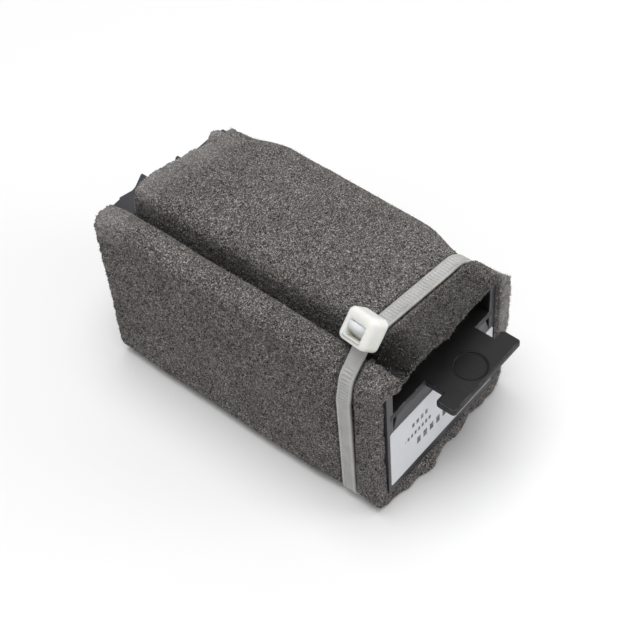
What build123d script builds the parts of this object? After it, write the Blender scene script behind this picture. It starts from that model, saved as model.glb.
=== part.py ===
"""Drop-in cassette sponge filter: a moulded housing wrapped in one strip of sponge held by a cable tie.

Millimetres. +Z up, the end with the pull tab faces -Y, and the origin is under the middle of the
whole object, on the surface that it stands on.
"""
from build123d import *
from math import cos, radians, sin
import os

# Sponge sheet
sheet = 4.2                 # thickness of the sponge where it is held flat
sponge_half_w = 23.2        # outer half width
sponge_front = -37.8        # front cut edge, which stands proud of the housing
sponge_back = 40.8          # back cut edge, level with the rear cap
sponge_fit = 0.1            # play between the sponge and the housing
seam_x = -15.6              # where the two ends of the strip meet
seam_gap = 0.4

# Housing
half_w = 19.0               # outer half width
front_y = -36.2             # outer face of the front wall
housing_back = 38.3         # rear edge of the floor and side walls
floor_z = sheet + sponge_fit
wall_h = 36.7               # height of the side walls
wall = 2.0
floor_t = 1.5
wall_top_r = 1.5            # rounding of the walls' outer top edges
top_z = floor_z + wall_h

# Slide plate
plate_top = floor_z + 27.6
plate_t = 1.6
plate_play = 0.15
groove_depth = 0.9
tab_x = 2.85                # the tab is set off the centre line
neck_w = 17.8
neck_l = 4.9
bar_w = 24.0
bar_l = 5.0
dimple_r = 3.7

# Rear cap
gasket_t = 0.5
cap_t = 2.0
cap_y = housing_back + gasket_t
cap_back = cap_y + cap_t
outlet_z = floor_z + 13.5
outlet_r = 7.0
outlet_bore = 5.2
outlet_back = 45.4
screw_x = 14.2
screw_low = floor_z + floor_t + 2.8
screw_high = top_z - 4.4
boss = 5.4
boss_l = 10.0
screw_r = 1.1

# Cable tie
strap_w = 3.6
strap_t = 1.05
strap_y = -27.6             # middle of the strap
strap_play = 0.12           # between the strap and the sponge
head_x = -12.8              # middle of the head's base
head_z = 49.1
tilt = 45.0                 # slope of the head's base, in degrees
lean = 12.0                 # how far the head leans back over the strap, in degrees
head_l = 6.9
head_w = 7.4
head_t = 4.65
slot_w = 4.8
slot_low = -2.45            # the slot's two ends, along the head's base from its middle
slot_high = 1.0
tail_u = 0.3                # middle of the cut tail in the slot

# Chamber contents
chamber_low = floor_z + floor_t
chamber_high = plate_top - plate_t - plate_play
mesh_t = 0.5
screen_y = -3.6             # middle of the mesh screens
screen_l = 58.0
screen_w = 29.0
divider_t = 1.2
divider_ys = (-16.8, 11.4)
ring_r = 3.6
ring_bore = 1.7
ring_l = 10.6


def front_plane(y):
    """An upright plane facing -Y at y: its x is X and its y is Z."""
    return Plane.XZ.offset(-y)


# Middle line of the strap, from its root at the head's low end, down the left side and round to the
# point under the slot (x, z)
head_along = (cos(radians(tilt)), sin(radians(tilt)))
head_up = (-sin(radians(tilt)), cos(radians(tilt)))


def at_head(along, up):
    """A point (x, z) from the middle of the head's base, along it and up from it."""
    return (
        head_x + along * head_along[0] + up * head_up[0],
        head_z + along * head_along[1] + up * head_up[1])


strap_line = [
    at_head(-head_l / 2, strap_t / 2), at_head(-head_l / 2 - 7.3, strap_t / 2), (-22.4, 35.2), (-22.4, 0.95),
    (22.4, 0.95), (22.4, 34.0), (20.4, 40.4), (16.1, 44.05), at_head(tail_u, -1.5), at_head(tail_u, 0.5),
]
strap_radii = [4.0, 4.0, 3.6, 3.6, 8.0, 8.0, 6.0, 1.5]

# Outline that the strap squeezes the sponge to (x, z)
waist = [
    (-21.75, 1.55), (21.75, 1.55), (21.75, 33.9), (19.9, 40.0), (15.75, 43.45), (-10.8, 47.3),
    (seam_x, 43.6), (-16.4, 45.2), (-20.4, 41.4), (-21.75, 35.0),
]
waist_radii = [3.0, 3.0, 7.4, 7.4, 5.4, 2.0, 0.4, 0.8, 3.0, 3.4]

# Outline of the sponge away from the strap (x, z)
sponge_outline = [
    (-sponge_half_w, 0), (sponge_half_w, 0), (sponge_half_w, 42.0), (17.2, 45.9), (3.0, 49.2),
    (-10.6, 49.4), (seam_x, 44.6), (-17.6, 47.4), (-sponge_half_w, 47.0),
]
sponge_radii = [4.2, 4.2, 7.0, 8.0, 20.0, 3.0, 0.5, 1.0, 3.6]


# --- Housing -------------------------------------------------------------------------------------
with BuildPart() as housing:
    length = housing_back - front_y
    middle = (housing_back + front_y) / 2
    with BuildSketch(front_plane(front_y)):
        with Locations((0, floor_z + wall_h / 2)):
            Rectangle(2 * half_w, wall_h)
        with Locations((0, chamber_low + wall_h / 2)):
            Rectangle(2 * (half_w - wall), wall_h, mode=Mode.SUBTRACT)
    extrude(amount=-length)
    # rounded long edges, which the sponge turns over
    long_edges = housing.edges().filter_by(Axis.Y)
    fillet(long_edges.group_by(Axis.Z)[0], 1.2)
    wall_tops = long_edges.group_by(Axis.Z)[-1]
    fillet(wall_tops.sort_by(Axis.X)[0:1] + wall_tops.sort_by(Axis.X)[-1:], wall_top_r)
    # front wall, up to just under the plate
    front_top = plate_top - plate_t - plate_play
    with BuildSketch(front_plane(front_y)):
        with Locations((0, (floor_z + front_top) / 2 + 0.6)):
            Rectangle(2 * half_w - 1.0, front_top - floor_z - 1.2)
    extrude(amount=-wall)
    # grooves that the slide plate runs in
    groove_w = 2 * (half_w - wall + groove_depth)
    with BuildSketch(front_plane(front_y)):
        with Locations((0, plate_top - plate_t / 2)):
            Rectangle(groove_w, plate_t + 2 * plate_play)
    extrude(amount=-length, mode=Mode.SUBTRACT)
    # wedge-shaped reliefs between the front wall and the side walls
    for side in (-1, 1):
        with BuildSketch(front_plane(front_y)):
            with BuildLine():
                Polyline(
                    (side * (half_w - wall), front_top + 1), (side * (half_w - wall - 1.6), front_top + 1),
                    (side * (half_w - wall), front_top - 4.2), close=True)
            make_face()
        extrude(amount=-wall, mode=Mode.SUBTRACT)
    # upright inlet slots in both side walls
    with BuildSketch(Plane.YZ.offset(-half_w)):
        with Locations((middle, chamber_low + 12.5)):
            with GridLocations(8.5, 1, 7, 1):
                SlotOverall(17.0, 3.4, rotation=90)
    extrude(amount=2 * half_w, mode=Mode.SUBTRACT)
    # inlet slots in the floor
    with BuildSketch(Plane.XY.offset(floor_z)):
        with Locations((0, middle)):
            with GridLocations(15.0, 8.5, 2, 7):
                SlotOverall(11.5, 3.4)
    extrude(amount=floor_t, mode=Mode.SUBTRACT)
    # four screw bosses at the rear
    with BuildSketch(front_plane(housing_back)):
        boss_spots = [(side * screw_x, z) for side in (-1, 1) for z in (screw_low, screw_high)]
        with Locations(*boss_spots):
            Rectangle(boss + 0.3, boss)
    extrude(amount=boss_l)
    with BuildSketch(front_plane(housing_back)):
        with Locations(*boss_spots):
            Circle(screw_r + 0.05)
    extrude(amount=boss_l - 1, mode=Mode.SUBTRACT)
housing.part.label = "housing"

# --- Slide plate with its pull tab ----------------------------------------------------------------
with BuildPart() as slide_plate:
    plate_back = housing_back - 0.4
    plate_half = half_w - wall + groove_depth - plate_play
    with BuildSketch(Plane.XY.offset(plate_top - plate_t)):
        with Locations((0, (front_y + plate_back) / 2)):
            Rectangle(2 * plate_half, plate_back - front_y)
        with Locations((tab_x, front_y - neck_l / 2)):
            Rectangle(neck_w, neck_l + 1)
        with Locations((tab_x, front_y - neck_l - bar_l / 2)):
            RectangleRounded(bar_w, bar_l, 0.9)
        # drain slots towards the back
        with Locations((0, 10)):
            with GridLocations(8.4, 8.0, 3, 5):
                SlotOverall(6.4, 2.6, mode=Mode.SUBTRACT)
    extrude(amount=plate_t)
    # finger dimple, and a small bevel round the tab
    with BuildSketch(Plane.XY.offset(plate_top)):
        with Locations((tab_x, front_y - 5.3)):
            Circle(dimple_r)
    extrude(amount=-0.35, mode=Mode.SUBTRACT)
    bar_front = slide_plate.faces().sort_by(Axis.Y)[0]
    chamfer(bar_front.edges().filter_by(Axis.X), 0.3)
slide_plate.part.label = "slide_plate"

# --- Front label ------------------------------------------------------------------------------------
with BuildPart() as front_label:
    with BuildSketch(front_plane(front_y)):
        with Locations((0, floor_z + 12.1)):
            RectangleRounded(2 * half_w - 1.4, 19.1, 0.6)
    extrude(amount=0.15)
front_label.part.label = "front_label"

# --- Rear cap with outlet spigot and keying teeth -----------------------------------------------------
with BuildPart() as rear_cap:
    with BuildSketch(front_plane(cap_back)):
        with Locations((0, floor_z + wall_h / 2)):
            RectangleRounded(2 * half_w, wall_h, 1.2)
    extrude(amount=cap_t)
    # ledge level with the wall tops; its rear edge carries two saw-shaped keying teeth
    with BuildSketch(Plane.XY.offset(top_z - 1.6)):
        with BuildLine():
            Polyline(
                (-15.7, cap_back - 1), (-15.7, 44.6), (-12.2, 44.7), (-11.7, 45.1), (-8.4, 44.3),
                (-7.2, 44.5), (-3.7, 46.1), (-3.2, 46.1), (-3.2, 41.8), (2.6, 41.8), (5.2, 43.4),
                (5.8, 43.4), (5.8, 41.3), (15.7, 41.3), (15.7, cap_back - 1), close=True)
        make_face()
    extrude(amount=1.6)
    # two ribs under the ledge
    for rib_x in (-9.5, 9.5):
        with BuildSketch(Plane.YZ.offset(rib_x - 0.6)):
            with BuildLine():
                Polyline((cap_back, top_z - 1), (cap_back + 1.4, top_z - 1), (cap_back, top_z - 6), close=True)
            make_face()
        extrude(amount=1.2)
    # outlet spigot
    with BuildSketch(front_plane(outlet_back)):
        with Locations((0, outlet_z)):
            Circle(outlet_r)
    extrude(amount=outlet_back - cap_back)
    spigot_rim = rear_cap.faces().filter_by(Axis.Y).filter_by(lambda f: abs(f.center().Y - outlet_back) < 0.01)
    chamfer(spigot_rim.edges(), 0.5)
    with BuildSketch(front_plane(outlet_back)):
        with Locations((0, outlet_z)):
            Circle(outlet_bore)
    extrude(amount=outlet_back - cap_y, mode=Mode.SUBTRACT)
    with BuildSketch(front_plane(cap_back)):
        with Locations(*boss_spots):
            Circle(screw_r + 0.15)
    extrude(amount=cap_t, mode=Mode.SUBTRACT)
rear_cap.part.label = "rear_cap"

# --- Gaskets and outlet grille ------------------------------------------------------------------------
with BuildPart() as rear_gasket:
    with BuildSketch(front_plane(cap_y)):
        with Locations((0, floor_z + wall_h / 2)):
            RectangleRounded(2 * half_w - 0.4, wall_h - 0.4, 1.0)
            Rectangle(2 * (half_w - wall), wall_h - 2 * wall, mode=Mode.SUBTRACT)
    extrude(amount=gasket_t)
rear_gasket.part.label = "rear_gasket"

with BuildPart() as outlet_gasket:
    with BuildSketch(front_plane(cap_back)):
        with Locations((0, outlet_z)):
            Circle(outlet_r + 3.6)
            Circle(outlet_r + 1.0, mode=Mode.SUBTRACT)
    extrude(amount=-1.2)
    fillet(outlet_gasket.edges().group_by(Axis.Y)[-1], 0.4)
outlet_gasket.part.label = "outlet_gasket"

with BuildPart() as outlet_grille:
    with BuildSketch(front_plane(cap_back)):
        with Locations((0, outlet_z)):
            Circle(outlet_bore - 0.05)
            with GridLocations(1, 2.2, 1, 3):
                Rectangle(6.8, 1.2, mode=Mode.SUBTRACT)
    extrude(amount=1.4)
outlet_grille.part.label = "outlet_grille"

# --- Cap screws ------------------------------------------------------------------------------------------
with BuildPart() as cap_screws:
    with BuildSketch(front_plane(cap_back)):
        with Locations(*boss_spots):
            Circle(2.0)
    extrude(amount=-1.1)
    fillet(cap_screws.edges().group_by(Axis.Y)[-1], 0.5)
    with BuildSketch(front_plane(cap_back)):
        with Locations(*boss_spots):
            Circle(screw_r)
    extrude(amount=8.0)
    # cross recess in each head
    with BuildSketch(front_plane(cap_back + 1.1)):
        with Locations(*boss_spots):
            Rectangle(2.2, 0.5)
            Rectangle(0.5, 2.2)
    extrude(amount=0.6, mode=Mode.SUBTRACT)
cap_screws.part.label = "cap_screws"

# --- Fine mesh screens over the inlet slots ----------------------------------------------------------------
with BuildPart() as floor_screen:
    with BuildSketch(Plane.XY.offset(chamber_low)):
        with Locations((0, screen_y)):
            Rectangle(screen_w, screen_l)
            with GridLocations(4.6, 4.6, 6, 12):
                Rectangle(3.6, 3.6, mode=Mode.SUBTRACT)
    extrude(amount=mesh_t)
floor_screen.part.label = "floor_screen"


def side_screen(side):
    """A mesh panel that lies against the inside of one side wall."""
    inner = side * (half_w - wall)
    with BuildPart() as screen:
        with BuildSketch(Plane.YZ.offset(min(inner, inner - side * mesh_t))):
            with Locations((screen_y, chamber_low + 12.5)):
                Rectangle(screen_l, 21.0)
                with GridLocations(4.6, 4.6, 12, 4):
                    Rectangle(3.6, 3.6, mode=Mode.SUBTRACT)
        extrude(amount=mesh_t)
    return screen


side_screen_left = side_screen(-1)
side_screen_left.part.label = "side_screen_left"
side_screen_right = side_screen(1)
side_screen_right.part.label = "side_screen_right"


# --- Media held in the chamber ---------------------------------------------------------------------------------
def divider(y):
    """A perforated wall that keeps the media sections apart."""
    low = chamber_low + mesh_t + 0.1
    high = chamber_high - 0.3
    with BuildPart() as wall_piece:
        with BuildSketch(front_plane(y)):
            with Locations((0, (low + high) / 2)):
                Rectangle(2 * (half_w - wall - mesh_t) - 0.4, high - low)
                with GridLocations(5.2, 5.2, 6, 4):
                    Circle(1.7, mode=Mode.SUBTRACT)
        extrude(amount=divider_t)
    return wall_piece


divider_front = divider(divider_ys[0])
divider_front.part.label = "divider_front"
divider_rear = divider(divider_ys[1])
divider_rear.part.label = "divider_rear"


def soft_block(y_low, y_high, half_width, round_r):
    """A soft filling with rounded edges that fills the chamber's height."""
    low = chamber_low + mesh_t + 0.1
    high = chamber_high - 0.6
    with BuildPart() as block:
        with BuildSketch(front_plane(y_high)):
            with Locations((0, (low + high) / 2)):
                Rectangle(2 * half_width, high - low)
        extrude(amount=y_high - y_low)
        fillet(block.edges(), round_r)
    return block


floss_pad = soft_block(front_y + wall + 0.3, divider_ys[0] - divider_t - 0.3, 15.9, 1.5)
floss_pad.part.label = "floss_pad"
carbon_pouch = soft_block(divider_ys[1] + 0.3, housing_back - boss_l - 0.4, 15.6, 3.0)
carbon_pouch.part.label = "carbon_pouch"

with BuildPart() as ceramic_rings:
    ring_low = chamber_low + mesh_t + ring_r + 0.3
    ring_spots = [(x, ring_low + row * 7.4) for row in range(3) for x in (-12, -4, 4, 12)]
    for back in (divider_ys[0] + 0.5 + ring_l, divider_ys[0] + 2.1 + 2 * ring_l):
        with BuildSketch(front_plane(back)):
            with Locations(*ring_spots):
                Circle(ring_r)
                Circle(ring_bore, mode=Mode.SUBTRACT)
        extrude(amount=ring_l)
ceramic_rings.part.label = "ceramic_rings"

# --- Sponge wrap: one strip round the four long sides --------------------------------------------------------------
with BuildPart() as sponge_wrap:
    sponge_l = sponge_back - sponge_front
    with BuildSketch(front_plane(sponge_front)):
        with BuildLine():
            FilletPolyline(*sponge_outline, radius=sponge_radii, close=True)
        make_face()
    extrude(amount=-sponge_l)
    # side outline: the top is drawn down at the front and falls a little at the back
    with BuildSketch(Plane.YZ.offset(-sponge_half_w)):
        with BuildLine():
            Polyline((sponge_front, 46.2), (sponge_front, 0), (sponge_back, 0), (sponge_back, 47.6))
            Spline((sponge_back, 47.6), (10, 49.4), (-18, 49.2), (sponge_front, 46.2))
        make_face()
    extrude(amount=2 * sponge_half_w, mode=Mode.INTERSECT)
    # hollow that the housing fills
    with BuildSketch(front_plane(sponge_front)) as hollow:
        with Locations((0, (sheet + top_z + sponge_fit) / 2)):
            Rectangle(2 * (half_w + sponge_fit), top_z + sponge_fit - sheet)
        fillet(hollow.vertices().group_by(Axis.Y)[-1], wall_top_r)
    extrude(amount=-sponge_l, mode=Mode.SUBTRACT)
    # waist that the strap pulls in
    with BuildSketch(front_plane(strap_y - strap_w / 2 - 0.2)):
        with Locations((0, 25)):
            Rectangle(80, 80)
        with BuildLine():
            FilletPolyline(*waist, radius=waist_radii, close=True)
        make_face(mode=Mode.SUBTRACT)
    extrude(amount=-(strap_w + 0.4), mode=Mode.SUBTRACT)
    # seam between the two ends of the strip
    with BuildSketch(front_plane(sponge_front)):
        with Locations((seam_x, top_z + 5)):
            Rectangle(seam_gap, 12)
    extrude(amount=-sponge_l, mode=Mode.SUBTRACT)
sponge_wrap.part.label = "sponge_wrap"

# --- Cable tie -------------------------------------------------------------------------------------------------------
along = Vector(head_along[0], 0, head_along[1])
upright = Vector(head_up[0], 0, head_up[1])
lean_back = radians(lean)
outward = upright * cos(lean_back) + Vector(0, sin(lean_back), 0)
head_base = Vector(head_x, strap_y, head_z)
head_plane = Plane(origin=head_base, x_dir=along, z_dir=outward)

with BuildPart() as tie_strap:
    with BuildSketch(front_plane(strap_y + strap_w / 2)):
        with BuildLine():
            FilletPolyline(*strap_line, radius=strap_radii)
        trace(line_width=strap_t)
    extrude(amount=strap_w)
    # cut-off tail that stands in the head's slot
    with BuildSketch(head_plane):
        with Locations((tail_u, 0)):
            Rectangle(strap_t, strap_w - 0.1)
    extrude(amount=head_t + 0.3)
tie_strap.part.label = "tie_strap"

with BuildPart() as tie_head:
    with BuildSketch(head_plane):
        RectangleRounded(head_l, head_w, 1.2)
    extrude(amount=head_t)
    fillet(tie_head.faces().sort_by(Axis((0, 0, 0), tuple(outward)))[-1].edges(), 0.8)
    with BuildSketch(head_plane):
        with Locations(((slot_low + slot_high) / 2, 0)):
            Rectangle(slot_high - slot_low, slot_w)
    extrude(amount=head_t, mode=Mode.SUBTRACT)
tie_head.part.label = "tie_head"

# The pawl is a tongue that leans on the tail; it bends at its foot
pawl_w = slot_w - 0.6
pawl_foot = slot_low + 0.2
pawl_low = 0.9              # the foot's lower and upper edge, up from the head's base
pawl_high = 1.8
tail_face = tail_u - strap_t / 2
with BuildPart() as tie_pawl:
    pawl_side = Plane(origin=head_base - head_plane.y_dir * (pawl_w / 2), x_dir=along, z_dir=-head_plane.y_dir)
    with BuildSketch(pawl_side):
        with BuildLine():
            Polyline(
                (pawl_foot, pawl_low), (pawl_foot, pawl_high), (tail_face - 0.9, 3.9),
                (tail_face - 0.2, 3.9), (tail_face - 0.2, 3.2), (tail_face - 0.5, 2.7), (pawl_foot + 0.7, pawl_low),
                close=True)
        make_face()
    extrude(amount=-pawl_w)
tie_pawl.part.label = "tie_pawl"

# --- Write every piece --------------------------------------------------------------------------------------------------
os.makedirs("parts", exist_ok=True)
pieces = [
    housing, slide_plate, front_label, rear_cap, rear_gasket, outlet_gasket, outlet_grille, cap_screws,
    floor_screen, side_screen_left, side_screen_right, divider_front, divider_rear, floss_pad,
    carbon_pouch, ceramic_rings, sponge_wrap, tie_strap, tie_head, tie_pawl,
]
for piece in pieces:
    export_step(piece.part, f"parts/{piece.part.label}.step")
pivot = head_base + along * pawl_foot + outward * ((pawl_low + pawl_high) / 2)
print("pawl pivot", [round(value, 3) for value in pivot])
print("pawl axis", [round(-value, 4) for value in head_plane.y_dir])
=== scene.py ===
import math

import bmesh
import bpy
import numpy as np
from mathutils import Matrix, Vector


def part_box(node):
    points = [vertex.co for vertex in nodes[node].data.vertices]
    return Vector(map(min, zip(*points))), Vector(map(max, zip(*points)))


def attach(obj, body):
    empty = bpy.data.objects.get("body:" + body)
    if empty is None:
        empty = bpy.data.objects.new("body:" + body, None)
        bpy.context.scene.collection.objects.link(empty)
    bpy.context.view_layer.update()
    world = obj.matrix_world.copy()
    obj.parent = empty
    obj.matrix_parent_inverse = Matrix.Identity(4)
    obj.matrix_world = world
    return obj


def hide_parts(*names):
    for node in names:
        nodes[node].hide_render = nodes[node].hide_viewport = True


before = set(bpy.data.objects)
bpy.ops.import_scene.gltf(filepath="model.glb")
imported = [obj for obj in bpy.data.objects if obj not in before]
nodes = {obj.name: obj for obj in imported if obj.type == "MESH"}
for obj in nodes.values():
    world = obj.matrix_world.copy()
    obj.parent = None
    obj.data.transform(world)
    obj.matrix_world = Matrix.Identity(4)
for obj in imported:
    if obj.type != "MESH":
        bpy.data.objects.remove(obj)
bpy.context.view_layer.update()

MM = 0.001
SEED = 7


def box_mm(node):
    """Lowest and highest corner of a CAD node in millimetres."""
    low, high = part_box(node)
    return np.array(low) / MM, np.array(high) / MM


# ---------------------------------------------------------------------------------------------------
# Mesh helpers
# ---------------------------------------------------------------------------------------------------
def new_mesh(name, verts_mm, faces, smooth=True):
    """A mesh object from points in millimetres."""
    mesh = bpy.data.meshes.new(name)
    mesh.from_pydata((np.asarray(verts_mm) * MM).tolist(), [], faces)
    mesh.validate()
    mesh.update()
    piece = bpy.data.objects.new(name, mesh)
    bpy.context.collection.objects.link(piece)
    if smooth:
        mesh.polygons.foreach_set("use_smooth", [True] * len(mesh.polygons))
    return piece


def mesh_normals(piece):
    count = len(piece.data.vertices)
    normals = np.zeros(count * 3)
    piece.data.vertices.foreach_get("normal", normals)
    return normals.reshape(-1, 3)


def face_outward(piece):
    bm = bmesh.new()
    bm.from_mesh(piece.data)
    bmesh.ops.recalc_face_normals(bm, faces=bm.faces)
    bm.to_mesh(piece.data)
    bm.free()


def smooth_step(low, high, value):
    """0 below low, 1 above high and an easy curve between; low may also be the larger one."""
    t = np.clip((value - low) / (high - low), 0.0, 1.0)
    return t * t * (3.0 - 2.0 * t)


def lattice_random(cells, channel):
    """A repeatable random number from 0 to 1 for each integer cell."""
    mixed = cells[..., 0] * 73856093 ^ cells[..., 1] * 19349663 ^ cells[..., 2] * 83492791
    mixed = (mixed ^ (channel * 2654435761 + SEED * 97)) & 0xFFFFFFFF
    mixed = (mixed ^ (mixed >> 15)) * 2246822519 & 0xFFFFFFFF
    mixed = (mixed ^ (mixed >> 13)) * 3266489917 & 0xFFFFFFFF
    return ((mixed ^ (mixed >> 16)) & 0xFFFFFF) / float(0x1000000)


def value_noise(points, scale, channel):
    """Smooth noise from -1 to 1 at points in millimetres, with lumps about scale across."""
    p = points / scale
    base = np.floor(p).astype(np.int64)
    f = p - base
    f = f * f * (3.0 - 2.0 * f)
    total = np.zeros(len(points))
    for corner in range(8):
        step = np.array([(corner >> axis) & 1 for axis in range(3)])
        weight = np.prod(np.where(step, f, 1.0 - f), axis=1)
        total += weight * lattice_random(base + step, channel)
    return 2.0 * total - 1.0


def cell_distances(points, size, channel=10):
    """Distances to the nearest and second nearest of scattered points, about size apart."""
    p = points / size
    base = np.floor(p).astype(np.int64)
    nearest = np.full(len(points), 9.0)
    second = np.full(len(points), 9.0)
    for dx in (-1, 0, 1):
        for dy in (-1, 0, 1):
            for dz in (-1, 0, 1):
                cell = base + np.array((dx, dy, dz))
                inside = [cell[:, axis] + lattice_random(cell, channel + axis) for axis in range(3)]
                distance = np.linalg.norm(np.stack(inside, 1) - p, axis=1)
                second = np.minimum(second, np.maximum(nearest, distance))
                nearest = np.minimum(nearest, distance)
    return nearest, second


def rounded_corners(points, radii, counts=None, step=1.0):
    """Samples a line with rounded corners. Every straight and every arc gets its own count of samples,
    so two lines with the same number of corners can be sampled in step. Returns points and counts."""
    points = [np.array(p, float) for p in points]
    joints = []
    for i in range(1, len(points) - 1):
        before, at, after = points[i - 1], points[i], points[i + 1]
        u = (before - at) / np.linalg.norm(before - at)
        v = (after - at) / np.linalg.norm(after - at)
        half = math.acos(np.clip(np.dot(u, v), -1, 1)) / 2
        cut = radii[i] / math.tan(half)
        cut = min(cut, 0.48 * np.linalg.norm(before - at), 0.48 * np.linalg.norm(after - at))
        radius = cut * math.tan(half)
        centre = at + (u + v) / np.linalg.norm(u + v) * radius / math.sin(half)
        joints.append((at + u * cut, at + v * cut, centre, math.pi - 2 * half, radius))
    spans = []
    start = points[0]
    for enter, leave, centre, turn, radius in joints:
        spans.append((start, enter, None, 0, 0))
        spans.append((enter, leave, centre, turn, radius))
        start = leave
    spans.append((start, points[-1], None, 0, 0))
    if counts is None:
        lengths = [np.linalg.norm(b - a) if c is None else t * r for a, b, c, t, r in spans]
        counts = [max(2, int(round(length / step))) for length in lengths]
    out = []
    for (a, b, centre, turn, radius), count in zip(spans, counts):
        for k in range(count):
            t = k / count
            if centre is None:
                out.append(a + (b - a) * t)
            else:
                mixed = (a - centre) * math.sin((1 - t) * turn) + (b - centre) * math.sin(t * turn)
                out.append(centre + mixed / math.sin(turn))
    out.append(points[-1])
    return np.array(out), counts


def span_counts(points, radii, step):
    return rounded_corners(points, radii, None, step)[1]


# ---------------------------------------------------------------------------------------------------
# Node material helpers
# ---------------------------------------------------------------------------------------------------
class Nodes:
    """Short calls for building one node material, or for adding to one that is already built."""

    def __init__(self, name=None, material=None):
        self.material = material or bpy.data.materials.new(name)
        self.material.use_nodes = True
        self.tree = self.material.node_tree
        self.shader = self.tree.nodes["Principled BSDF"]
        self.position = self.add("ShaderNodeTexCoord").outputs["Object"]

    def add(self, kind, **values):
        node = self.tree.nodes.new(kind)
        for key, value in values.items():
            setattr(node, key, value)
        return node

    def link(self, source, target):
        self.tree.links.new(source, target)

    def set(self, **values):
        """Constant values on the shader's own sockets; spaces in names are written as _."""
        for key, value in values.items():
            self.shader.inputs[key.replace("_", " ")].default_value = value

    def noise(self, scale, detail=3.0, roughness=0.6, stretch=None):
        node = self.add("ShaderNodeTexNoise")
        node.inputs["Scale"].default_value = scale
        node.inputs["Detail"].default_value = detail
        node.inputs["Roughness"].default_value = roughness
        source = self.position
        if stretch:
            mapping = self.add("ShaderNodeMapping")
            mapping.inputs["Scale"].default_value = stretch
            self.link(self.position, mapping.inputs["Vector"])
            source = mapping.outputs["Vector"]
        self.link(source, node.inputs["Vector"])
        return node.outputs["Fac"]

    def voronoi(self, scale, feature="F1", output="Distance"):
        node = self.add("ShaderNodeTexVoronoi", feature=feature)
        node.inputs["Scale"].default_value = scale
        self.link(self.position, node.inputs["Vector"])
        return node.outputs[output]

    def attribute(self, name):
        return self.add("ShaderNodeAttribute", attribute_name=name).outputs["Fac"]

    def ramp(self, source, stops):
        """Colours or greys at places from 0 to 1."""
        node = self.add("ShaderNodeValToRGB")
        elements = node.color_ramp.elements
        while len(elements) < len(stops):
            elements.new(0.5)
        for element, (place, colour) in zip(elements, stops):
            red, green, blue = colour if isinstance(colour, tuple) else (colour, colour, colour)
            element.position = place
            element.color = (red, green, blue, 1.0)
        self.link(source, node.inputs["Fac"])
        return node.outputs["Color"]

    def math(self, operation, a, b=0.0):
        node = self.add("ShaderNodeMath", operation=operation)
        for socket, value in zip(node.inputs, (a, b)):
            if isinstance(value, (int, float)):
                socket.default_value = value
            else:
                self.link(value, socket)
        return node.outputs["Value"]

    def mix(self, factor, a, b, blend="MIX"):
        node = self.add("ShaderNodeMix", data_type="RGBA", blend_type=blend)
        for name, value in (("Factor", factor), ("A", a), ("B", b)):
            socket = next(s for s in node.inputs if s.name == name and s.enabled)
            if isinstance(value, (int, float)):
                socket.default_value = value
            elif isinstance(value, tuple):
                socket.default_value = (*value, 1.0)
            else:
                self.link(value, socket)
        return next(s for s in node.outputs if s.name == "Result" and s.enabled)

    def bump(self, height, strength, distance_mm, normal=None):
        node = self.add("ShaderNodeBump")
        node.inputs["Strength"].default_value = strength
        node.inputs["Distance"].default_value = distance_mm * MM
        self.link(height, node.inputs["Height"])
        if normal is not None:
            self.link(normal, node.inputs["Normal"])
        return node.outputs["Normal"]

    def soft_edges(self, radius_mm):
        node = self.add("ShaderNodeBevel", samples=6)
        node.inputs["Radius"].default_value = radius_mm * MM
        return node.outputs["Normal"]

    def axes(self):
        """The position's x, y and z, in metres."""
        split = self.add("ShaderNodeSeparateXYZ")
        self.link(self.position, split.inputs["Vector"])
        return split.outputs["X"], split.outputs["Y"], split.outputs["Z"]

    def colour(self, source):
        self.link(source, self.shader.inputs["Base Color"])

    def rough(self, source):
        self.link(source, self.shader.inputs["Roughness"])

    def normal(self, source):
        self.link(source, self.shader.inputs["Normal"])


def dress(piece, material):
    piece.data.materials.clear()
    piece.data.materials.append(material)


SPARK_GRAIN = 0.25


def moulded_plastic(name, dark, light, roughness, edge_mm=0.22, wear=0.5, worn=4.0):
    """Moulded plastic: fine spark grain, faint flow marks, scuffs, and edges rubbed worn times as light."""
    n = Nodes(name)
    tone = n.noise(60.0, 4.0, 0.55)
    scuff = n.noise(900.0, 5.0, 0.7, stretch=(1.0, 0.12, 1.0))
    base = n.mix(n.ramp(tone, [(0.35, 0.0), (0.7, 1.0)]), dark, light)
    scuffed = n.math("MULTIPLY", n.ramp(scuff, [(0.62, 0.0), (0.74, 1.0)]), 0.35)
    base = n.mix(scuffed, base, tuple(c * 1.9 for c in light))
    rounded = n.soft_edges(edge_mm)
    flat = n.add("ShaderNodeNewGeometry").outputs["Normal"]
    turn = n.add("ShaderNodeVectorMath", operation="DOT_PRODUCT")
    n.link(rounded, turn.inputs[0])
    n.link(flat, turn.inputs[1])
    edge = n.ramp(turn.outputs["Value"], [(0.80, 1.0), (0.985, 0.0)])
    rubbed = n.math("MULTIPLY", edge, n.ramp(n.noise(420.0, 3.0, 0.6), [(0.42, 0.0), (0.66, wear)]))
    base = n.mix(rubbed, base, tuple(c * worn for c in light))
    n.colour(base)
    n.rough(n.ramp(n.noise(240.0, 3.0, 0.5), [(0.3, roughness - 0.07), (0.75, roughness + 0.09)]))
    grain = n.noise(1.0 / (SPARK_GRAIN * MM), 2.0, 0.5)
    n.normal(n.bump(grain, 0.35, 0.02, rounded))
    n.set(Specular_IOR_Level=0.5)
    return n.material


# ---------------------------------------------------------------------------------------------------
# Sponge
# ---------------------------------------------------------------------------------------------------
sponge_low, sponge_high = box_mm("sponge_wrap")
housing_low, housing_high = box_mm("housing")
strap_low, _ = box_mm("tie_strap")
STRAP_W = 3.6
STRAP_T = 1.05
strap_y = strap_low[1] + STRAP_W / 2
strap_half = STRAP_W / 2

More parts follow.
